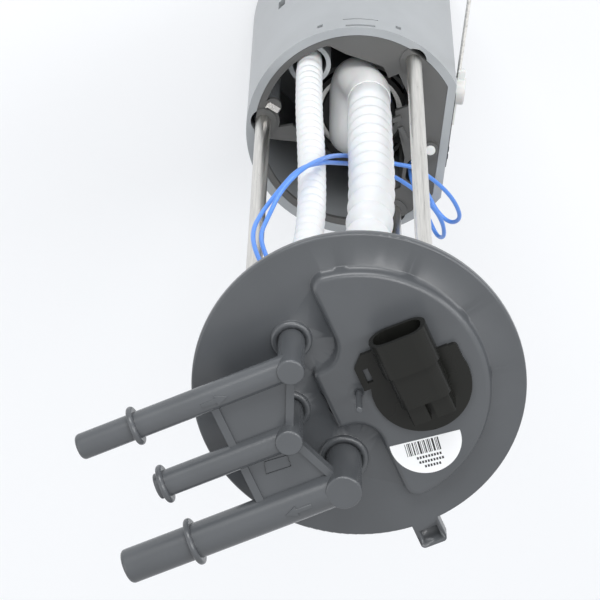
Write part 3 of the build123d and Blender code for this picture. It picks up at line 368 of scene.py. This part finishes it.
def make_materials(scene):
    tones = scene.pump_mouldings
    cover, deck = tuple(tones.cover_colour), tuple(tones.deck_colour)
    marks = scene.pump_marks
    MATERIALS.update({
        "cover_grey": moulded("cover_grey", cover, 0.30, 700.0, 0.06, 0.05),
        "pipe_grey": moulded("pipe_grey", shade(cover, 1.04), 0.25, 700.0, 0.05, 0.05),
        "socket_black": moulded("socket_black", tuple(tones.socket_colour), 0.26, 800.0, 0.05,
                                specular=0.22),
        "tin_blade": drawn_metal("tin_blade", (0.72, 0.71, 0.68), 0.25),
        "seal_rubber": moulded("seal_rubber", (0.012, 0.012, 0.012), 0.55),
        "acetal_white": moulded("acetal_white", tuple(tones.clear_colour), 0.35, soft=0.1),
        "float_plastic": moulded("float_plastic", (0.03, 0.03, 0.033), 0.5),
        "spring_steel": drawn_metal("spring_steel", (0.62, 0.61, 0.60), 0.25),
        "reservoir_grey": moulded("reservoir_grey", tuple(tones.reservoir_colour), 0.32, 600.0, 0.05),
        "deck_grey": moulded("deck_grey", deck, 0.45, 600.0, 0.05),
        "filter_mesh": moulded("filter_mesh", (0.70, 0.68, 0.60), 0.8, 2600.0, 0.5),
        "pump_steel": drawn_metal("pump_steel", (0.55, 0.55, 0.54), 0.32, (1, 1, 0.1)),
        "pump_end": moulded("pump_end", (0.02, 0.02, 0.02), 0.45),
        "pump_base": drawn_metal("pump_base", (0.6, 0.6, 0.6), 0.5, (1, 1, 1), 700.0, 0.2),
        "magnet": moulded("magnet", (0.03, 0.03, 0.032), 0.5),
        "armature": drawn_metal("armature", (0.45, 0.2, 0.08), 0.4),
        "impeller": moulded("impeller", (0.03, 0.02, 0.015), 0.5),
        "elbow_white": moulded("elbow_white", tuple(tones.elbow_colour), 0.3, 500.0, 0.02, 0.02,
                               soft=0.1),
        "sender_base": moulded("sender_base", (0.05, 0.055, 0.06), 0.45),
        "ceramic": moulded("ceramic", (0.82, 0.81, 0.77), 0.3),
        "contact": drawn_metal("contact", (0.75, 0.55, 0.25), 0.3),
        "arm_wire": drawn_metal("arm_wire", (0.80, 0.79, 0.76), 0.3, (1, 1, 1), 900.0, 0.03),
        "float_foam": moulded("float_foam", (0.02, 0.02, 0.02), 0.85, 1800.0, 0.4),
        "hose_white": moulded("hose_white", tuple(scene.pump_hoses.colour), 0.34, 400.0, 0.02, 0.02,
                              soft=0.12),
        "wire_blue": moulded("wire_blue", tuple(scene.pump_wires.colour), 0.32, 900.0, 0.02),
        "rod_steel": drawn_metal("rod_steel", (0.66, 0.645, 0.61), 0.3, (1, 1, 0.03), 1800.0),
        "carbon": moulded("carbon", (0.02, 0.02, 0.02), 0.7),
        "label_film": moulded("label_film", tuple(marks.paper_colour), 0.4, 1500.0, 0.02, 0.02),
        "label_ink": moulded("label_ink", tuple(marks.ink_colour), 0.5, 1500.0, 0.02, 0.05),
    })


# ---------------------------------------------------------------- shapes
def finished_piece(name, shape, material, crease=40.0):
    """Object at the origin from a closed bmesh."""
    bmesh.ops.recalc_face_normals(shape, faces=shape.faces)
    mesh = bpy.data.meshes.new(name)
    shape.to_mesh(mesh)
    shape.free()
    mesh.polygons.foreach_set("use_smooth", [True] * len(mesh.polygons))
    mesh.set_sharp_from_angle(angle=math.radians(crease))
    mesh.materials.append(MATERIALS[material])
    piece = bpy.data.objects.new(name, mesh)
    bpy.context.collection.objects.link(piece)
    return piece


def route_line(name, route):
    """Points that a smooth curve gives for a route's control points."""
    line = bpy.data.curves.new(name + "_line", "CURVE")
    line.dimensions = "3D"
    line.resolution_u = CURVE_STEPS
    spline = line.splines.new("NURBS")
    spline.points.add(len(route) - 1)
    for point, place in zip(spline.points, route):
        point.co = (*place, 1.0)
    spline.order_u = 3
    spline.use_endpoint_u = True
    guide = bpy.data.objects.new(name + "_line", line)
    sampled = bpy.data.meshes.new_from_object(guide)
    points = [vertex.co.copy() for vertex in sampled.vertices]
    bpy.data.objects.remove(guide)
    bpy.data.curves.remove(line)
    bpy.data.meshes.remove(sampled)
    return points


def stations_along(points, distances):
    """Place and direction at each distance along a line of points."""
    gone = [0.0]
    for here, there in zip(points, points[1:]):
        gone.append(gone[-1] + (there - here).length)
    found, at = [], 0
    for distance in distances:
        distance = min(max(distance, 0.0), gone[-1])
        while at < len(gone) - 2 and gone[at + 1] < distance:
            at += 1
        share = (distance - gone[at]) / max(gone[at + 1] - gone[at], 1e-9)
        ahead = (points[at + 1] - points[at]).normalized()
        behind = (points[at] - points[max(at - 1, 0)]).normalized() if at else ahead
        heading = behind.lerp(ahead, 0.5 + share / 2).normalized()
        found.append((points[at].lerp(points[at + 1], share), heading))
    return found


def line_length(points):
    return sum((there - here).length for here, there in zip(points, points[1:]))


def ring_places(points, distances):
    """Matrix of each ring across a line, turned as little as it can be from one to the next."""
    turn, heading, places = None, None, []
    for place, ahead in stations_along(points, distances):
        turn = ahead.to_track_quat("Z", "Y") if turn is None else heading.rotation_difference(ahead) @ turn
        heading = ahead
        places.append(Matrix.Translation(place) @ turn.to_matrix().to_4x4())
    return places


def drawn_ring(shape, places, radii, sides):
    """Ring extruded from place to place; returns its first and last edges."""
    stations = [place @ Matrix.Diagonal((radius, radius, 1.0, 1.0)) for place, radius in zip(places, radii)]
    made = bmesh.ops.create_circle(shape, segments=sides, radius=1.0, matrix=stations[0])
    edges = first = list({edge for vertex in made["verts"] for edge in vertex.link_edges})
    for before, after in zip(stations, stations[1:]):
        grown = bmesh.ops.extrude_edge_only(shape, edges=edges)["geom"]
        edges = [item for item in grown if isinstance(item, bmesh.types.BMEdge)]
        moved = [item for item in grown if isinstance(item, bmesh.types.BMVert)]
        bmesh.ops.transform(shape, matrix=after @ before.inverted(), verts=moved)
    return first, edges


def rippled_hose(name, route, radius, bore, cuff, pitch, depth, top_end, low_end, sides):
    """Corrugated tube: smooth end, ripples with narrow valleys, smooth end, and its bore."""
    points = route_line(name, route)
    total = line_length(points)
    count = max(1, round((total - top_end - low_end) / pitch))
    pitch = (total - top_end - low_end) / count
    part = HOSE_RIM * HOSE_RIM_PART
    distances = [0.0, part, HOSE_RIM, top_end / 2, top_end - HOSE_RUN_IN]
    radii = [cuff - HOSE_RIM, cuff - part, cuff, cuff, cuff]
    for step in range(count * RINGS_TO_A_RIPPLE + 1):
        share = abs(math.sin(math.pi * step / RINGS_TO_A_RIPPLE))
        distances.append(top_end + step * pitch / RINGS_TO_A_RIPPLE)
        radii.append(radius - depth * (1.0 - share ** LOBE_FULLNESS))
    distances += [total - low_end + HOSE_RUN_IN, total - low_end / 2, total - HOSE_RIM, total - part, total]
    radii += [cuff, cuff, cuff, cuff - part, cuff - HOSE_RIM]
    shape = bmesh.new()
    outside = drawn_ring(shape, ring_places(points, distances), radii, sides)
    within = [total * step / BORE_RINGS for step in range(BORE_RINGS + 1)]
    inside = drawn_ring(shape, ring_places(points, within), [bore] * len(within), sides)
    for outer, inner in zip(outside, inside):
        bmesh.ops.bridge_loops(shape, edges=list(outer) + list(inner))
    return finished_piece(name, shape, "hose_white"), points, total


def declare_hose(piece, node):
    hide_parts(node)
    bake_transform(piece)


def merged_copy(node):
    """Closed bmesh of a carried-over piece."""
    shape = bmesh.new()
    shape.from_mesh(bpy.data.objects[node].data)
    bmesh.ops.remove_doubles(shape, verts=shape.verts, dist=SAME_PLACE)
    shape.normal_update()
    return shape


def rib_ends(shape):
    """Faces of the ribs that stand through the land's sloping wall."""
    found = {face for face in shape.faces
             if face.normal.z > LEVEL and abs(face.calc_center_median().z - LAND_RIB_TOP) < SAME_HEIGHT}
    edge_of_search = list(found)
    while edge_of_search:
        for edge in edge_of_search.pop().edges:
            for face in edge.link_faces:
                heights = [vertex.co.z for vertex in face.verts]
                upright = abs(face.normal.z) < UPRIGHT
                between = (min(heights) > LAND_FOOT - 5 * SAME_HEIGHT
                           and max(heights) < LAND_RIB_TOP + SAME_HEIGHT)
                if face not in found and upright and between:
                    found.add(face)
                    edge_of_search.append(face)
    return list(found)


def flat_face(shape, corners, height):
    return shape.faces.new([shape.verts.new((x, y, height)) for x, y in corners])


def raise_faces(shape, rise):
    """Everything in the shape extruded straight up."""
    grown = bmesh.ops.extrude_face_region(shape, geom=list(shape.faces))["geom"]
    bmesh.ops.translate(shape, vec=(0, 0, rise),
                        verts=[item for item in grown if isinstance(item, bmesh.types.BMVert)])


def round_edges(shape, edges, offset):
    bmesh.ops.bevel(shape, geom=edges, offset=offset, affect="EDGES", segments=2, profile=0.5,
                    material=-1)


def part_of_cover(piece):
    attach(piece, "cover")


# ---------------------------------------------------------------- operators
class PUMP_OT_finishes(Operator):
    """Give every piece of the frame its moulded, rubber or metal finish"""
    bl_idname = "pump_module.finishes"
    bl_label = "Finish Frame Pieces"

    def execute(self, context):
        make_materials(context.scene)
        for part in frame["record"]["subparts"]:
            piece = bpy.data.objects[part["node"]]
            if not piece.material_slots:
                piece.data.materials.append(None)
            for slot in piece.material_slots:
                slot.material = MATERIALS[part["material_slot"]]
        return {"FINISHED"}


class PUMP_OT_feed_hose(Operator):
    """Corrugated feed hose from the cover down to the pump's elbow"""
    bl_idname = "pump_module.feed_hose"
    bl_label = "Add Feed Hose"

    def execute(self, context):
        sizes = context.scene.pump_hoses
        hose, points, total = rippled_hose(
            "feed_hose_tube", FEED_ROUTE, sizes.feed_radius, sizes.feed_bore, sizes.feed_cuff,
            sizes.feed_pitch, sizes.feed_depth, sizes.feed_top_end, sizes.feed_low_end, sizes.sides)
        declare_hose(hose, "feed_hose")
        return {"FINISHED"}


class PUMP_OT_return_hose(Operator):
    """Thin corrugated return hose from the cover down into the reservoir"""
    bl_idname = "pump_module.return_hose"
    bl_label = "Add Return Hose"

    def execute(self, context):
        sizes = context.scene.pump_hoses
        hose, points, total = rippled_hose(
            "return_hose_tube", RETURN_ROUTE, sizes.return_radius, sizes.return_bore, sizes.return_cuff,
            sizes.return_pitch, sizes.return_depth, sizes.return_top_end, sizes.return_low_end, sizes.sides)
        declare_hose(hose, "return_hose")
        return {"FINISHED"}


class PUMP_OT_sender_wires(Operator):
    """Two thin wires from the plug socket to the level sender"""
    bl_idname = "pump_module.sender_wires"
    bl_label = "Add Sender Wires"

    def execute(self, context):
        sizes = context.scene.pump_wires
        for node, route in (("sender_wire_a", WIRE_A_ROUTE), ("sender_wire_b", WIRE_B_ROUTE)):
            points = route_line(node, route)
            total = line_length(points)
            count = round(total / sizes.step)
            distances = [total * step / count for step in range(count + 1)]
            shape = bmesh.new()
            ends = drawn_ring(shape, ring_places(points, distances),
                              [sizes.diameter / 2] * len(distances), sizes.sides)
            for edges in ends:
                bmesh.ops.holes_fill(shape, edges=list(edges), sides=0)
            wire = finished_piece(node + "_lead", shape, "wire_blue")
            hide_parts(node)
            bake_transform(wire)
        return {"FINISHED"}


class PUMP_OT_cover(Operator):
    """Cover moulding with the land's wall made even where the ribs under it come through"""
    bl_idname = "pump_module.cover"
    bl_label = "Add Cover Moulding"

    def execute(self, context):
        shape = merged_copy("cover")
        bmesh.ops.delete(shape, geom=rib_ends(shape), context="FACES")
        open_edges = [edge for edge in shape.edges if edge.is_boundary]
        filled = bmesh.ops.holes_fill(shape, edges=open_edges, sides=0)["faces"]
        bmesh.ops.triangulate(shape, faces=filled)
        moulding = finished_piece("cover_moulding", shape, "cover_grey")
        even = moulding.modifiers.new("even_flats", "WEIGHTED_NORMAL")
        even.mode = "FACE_AREA"
        even.weight = 100
        even.keep_sharp = True
        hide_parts("cover")
        part_of_cover(moulding)
        return {"FINISHED"}


class PUMP_OT_label(Operator):
    """Small half-round label with a plain printed pattern on the cover's land"""
    bl_idname = "pump_module.label"
    bl_label = "Add Label"

    def execute(self, context):
        sizes = context.scene.pump_marks
        shape = bmesh.new()
        bmesh.ops.create_circle(shape, cap_ends=True, segments=96, radius=sizes.label_radius,
                                matrix=Matrix.Translation((*LABEL_CENTRE, LAND_TOP)))
        along = Vector((math.cos(LABEL_TURN), math.sin(LABEL_TURN), 0))
        across = Vector((-along.y, along.x, 0))
        centre = Vector((*LABEL_CENTRE, LAND_TOP))
        bmesh.ops.bisect_plane(shape, geom=list(shape.verts) + list(shape.edges) + list(shape.faces),
                               plane_co=centre + across * LABEL_CUT, plane_no=across, clear_outer=True)
        raise_faces(shape, sizes.label_thickness)
        film = finished_piece("label_film", shape, "label_film")
        turn = Matrix.Rotation(LABEL_TURN, 4, "Z")
        top = centre + Vector((0, 0, sizes.label_thickness + sizes.ink_thickness / 2))
        shape = bmesh.new()

        def mark(x, y, wide, high):
            place = Matrix.Translation(top) @ turn @ Matrix.Translation((x, y, 0))
            bmesh.ops.create_cube(shape, size=1, matrix=place @ Matrix.Diagonal(
                (wide, high, sizes.ink_thickness, 1)))

        x = BARS_START
        for wide, gap in BARS:
            mark(x + wide * BAR_UNIT / 2, BARS_ROW, wide * BAR_UNIT, BAR_HEIGHT)
            x += (wide + gap) * BAR_UNIT
        for row, (count, start) in enumerate(DASH_ROWS):
            for step in range(count):
                mark(start + step * DASH_STEP, DASH_TOP - row * DASH_DROP, DASH_WIDE, DASH_HIGH)
        ink = finished_piece("label_print", shape, "label_ink")
        for piece in (film, ink):
            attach(piece, "cover")
        return {"FINISHED"}


class PUMP_OT_flow_arrows(Operator):
    """Raised arrows that show which way each pipe flows"""
    bl_idname = "pump_module.flow_arrows"
    bl_label = "Add Flow Arrows"

    def execute(self, context):
        height = context.scene.pump_marks.arrow_height
        for name, (tip, y, crest, way) in ARROWS.items():
            outline = [(tip + way * back, y + side) for back, side in ARROW_OUTLINE]
            shape = bmesh.new()
            flat_face(shape, outline, crest - ARROW_SUNK)
            raise_faces(shape, ARROW_SUNK + height)
            top_edges = [edge for edge in shape.edges
                         if all(vertex.co.z > crest for vertex in edge.verts)]
            round_edges(shape, top_edges, height * EDGE_SHARE)
            part_of_cover(finished_piece(name, shape, "pipe_grey"))
        return {"FINISHED"}


class PUMP_OT_springs(Operator):
    """Coil springs copied from the frame's spring pieces and carried by the reservoir"""
    bl_idname = "pump_module.springs"
    bl_label = "Add Springs"

    def execute(self, context):
        for node, (joint, seat, travel) in SPRINGS.items():
            coil = finished_piece(node + "_coil", merged_copy(node), "spring_steel")
            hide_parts(node)
            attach(coil, "reservoir")
            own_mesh(coil)
        return {"FINISHED"}


class PUMP_OT_web_panel(Operator):
    """Raised rim of the small sunk panel on the web between the vapour and feed pipes"""
    bl_idname = "pump_module.web_panel"
    bl_label = "Add Web Panel Rim"

    def execute(self, context):
        shape = bmesh.new()
        panel = flat_face(shape, WEB_PANEL, WEB_TOP - WEB_PANEL_SUNK)
        bmesh.ops.inset_region(shape, faces=[panel], thickness=WEB_PANEL_RIM,
                               use_boundary=True, use_even_offset=True)
        bmesh.ops.delete(shape, geom=[panel], context="FACES")
        raise_faces(shape, WEB_PANEL_SUNK + WEB_PANEL_PROUD)
        top_edges = [edge for edge in shape.edges if all(vertex.co.z > WEB_TOP for vertex in edge.verts)
                     and any(abs(face.normal.z) < 0.5 for face in edge.link_faces)]
        round_edges(shape, top_edges, WEB_PANEL_PROUD * EDGE_SHARE)
        part_of_cover(finished_piece("web_panel_rim", shape, "pipe_grey"))
        return {"FINISHED"}


class PUMP_OT_stage(Operator):
    """Pale floor, soft studio lights and the camera"""
    bl_idname = "pump_module.stage"
    bl_label = "Set Up Stage"

    def execute(self, context):
        sizes = context.scene.pump_stage
        set_room(context.scene, sizes)
        set_floor(sizes)
        for name, (place, size) in SOFTBOXES.items():
            soft_lamp(name + "_softbox", place, size, getattr(sizes, name + "_power"))
        set_camera(context.scene, sizes)
        return {"FINISHED"}


def seen_rays(nodes, links):
    """1 for rays from the camera, from gloss and through clear parts, and 0 for the light itself."""
    path = nodes.new("ShaderNodeLightPath")
    found = path.outputs["Is Camera Ray"]
    for kind in ("Is Glossy Ray", "Is Transmission Ray"):
        either = nodes.new("ShaderNodeMath")
        either.operation = "MAXIMUM"
        links.new(found, either.inputs[0])
        links.new(path.outputs[kind], either.inputs[1])
        found = either.outputs[0]
    return found


def set_room(scene, sizes):
    world = scene.world or bpy.data.worlds.new("studio")
    scene.world = world
    world.use_nodes = True
    nodes, links = world.node_tree.nodes, world.node_tree.links
    sky = nodes["Background"]
    sky.inputs["Color"].default_value = ROOM_TINT
    sky.inputs["Strength"].default_value = sizes.world_strength
    seen = nodes.new("ShaderNodeBackground")
    seen.inputs["Color"].default_value = (1, 1, 1, 1)
    seen.inputs["Strength"].default_value = 1.0
    mix = nodes.new("ShaderNodeMixShader")
    links.new(seen_rays(nodes, links), mix.inputs[0])
    links.new(sky.outputs[0], mix.inputs[1])
    links.new(seen.outputs[0], mix.inputs[2])
    links.new(mix.outputs[0], nodes["World Output"].inputs["Surface"])


def set_floor(sizes):
    shape = bmesh.new()
    bmesh.ops.create_circle(shape, cap_ends=True, radius=sizes.floor_radius, segments=64,
                            matrix=Matrix.Translation((0, 0, FRAME_BOX[0][2] - FLOOR_GAP)))
    mesh = bpy.data.meshes.new("floor")
    shape.to_mesh(mesh)
    shape.free()
    floor = bpy.data.objects.new("floor", mesh)
    bpy.context.collection.objects.link(floor)
    material, nodes, links, shader = new_material("pale_floor")
    shader.inputs["Base Color"].default_value = (*sizes.floor_colour, 1)
    shader.inputs["Roughness"].default_value = 0.9
    glow = nodes.new("ShaderNodeEmission")
    glow.inputs["Color"].default_value = FLOOR_GLOW_TINT
    share = nodes.new("ShaderNodeMath")
    share.operation = "MULTIPLY"
    share.inputs[1].default_value = FLOOR_GLOW
    links.new(seen_rays(nodes, links), share.inputs[0])
    mix = nodes.new("ShaderNodeMixShader")
    links.new(share.outputs[0], mix.inputs[0])
    links.new(shader.outputs[0], mix.inputs[1])
    links.new(glow.outputs[0], mix.inputs[2])
    links.new(mix.outputs[0], nodes["Material Output"].inputs["Surface"])
    mesh.materials.append(material)


def soft_lamp(name, place, size, power):
    data = bpy.data.lights.new(name, "AREA")
    data.shape = "RECTANGLE"
    data.size, data.size_y = size
    data.energy = power
    lamp = bpy.data.objects.new(name, data)
    lamp.location = place
    lamp.rotation_mode = "QUATERNION"
    lamp.rotation_quaternion = (Vector(LAMPS_AIM) - Vector(place)).to_track_quat("-Z", "Y")
    bpy.context.collection.objects.link(lamp)


def set_camera(scene, sizes):
    camera = bpy.data.objects.new("camera", bpy.data.cameras.new("camera"))
    camera.data.lens = sizes.lens
    camera.data.sensor_width = SENSOR_WIDTH
    camera.data.clip_start = 0.05
    camera.data.clip_end = 50.0
    right, up = Vector(CAMERA_RIGHT).normalized(), Vector(CAMERA_UP).normalized()
    back = right.cross(up).normalized()
    up = back.cross(right)
    turn = Matrix((right, up, back)).transposed().to_4x4()
    camera.matrix_world = Matrix.Translation(CAMERA_PLACE) @ turn
    bpy.context.collection.objects.link(camera)
    scene.camera = camera
    scene.view_settings.view_transform = "Standard"


GROUPS = {
    "pump_hoses": PUMP_PG_hoses,
    "pump_wires": PUMP_PG_wires,
    "pump_marks": PUMP_PG_marks,
    "pump_mouldings": PUMP_PG_mouldings,
    "pump_stage": PUMP_PG_stage,
}
OPERATORS = (
    PUMP_OT_stage, PUMP_OT_finishes, PUMP_OT_feed_hose, PUMP_OT_return_hose, PUMP_OT_sender_wires,
    PUMP_OT_cover, PUMP_OT_label, PUMP_OT_flow_arrows, PUMP_OT_web_panel, PUMP_OT_springs,
)


class PUMP_PT_sidebar(Panel):
    """Sizes, colours and pieces of the fuel pump module"""
    bl_idname = "PUMP_PT_sidebar"
    bl_label = "Pump Module"
    bl_space_type = "VIEW_3D"
    bl_region_type = "UI"
    bl_category = "Pump Module"

    def draw(self, context):
        layout = self.layout
        for operator in OPERATORS:
            layout.operator(operator.bl_idname)
        for name in GROUPS:
            group = getattr(context.scene, name)
            box = layout.box()
            for key in group.bl_rna.properties.keys():
                if key not in ("rna_type", "name"):
                    box.prop(group, key)


CLASSES = (*GROUPS.values(), *OPERATORS, PUMP_PT_sidebar)


def register():
    for item in CLASSES:
        bpy.utils.register_class(item)
    for name, group in GROUPS.items():
        setattr(bpy.types.Scene, name, PointerProperty(type=group))


def unregister():
    for name in GROUPS:
        delattr(bpy.types.Scene, name)
    for item in reversed(CLASSES):
        bpy.utils.unregister_class(item)


def main():
    register()
    bpy.ops.pump_module.stage()
    bpy.ops.pump_module.finishes()
    bpy.ops.pump_module.feed_hose()
    bpy.ops.pump_module.return_hose()
    bpy.ops.pump_module.sender_wires()
    bpy.ops.pump_module.cover()
    bpy.ops.pump_module.label()
    bpy.ops.pump_module.flow_arrows()
    bpy.ops.pump_module.web_panel()
    bpy.ops.pump_module.springs()


if __name__ == "__main__":
    main()
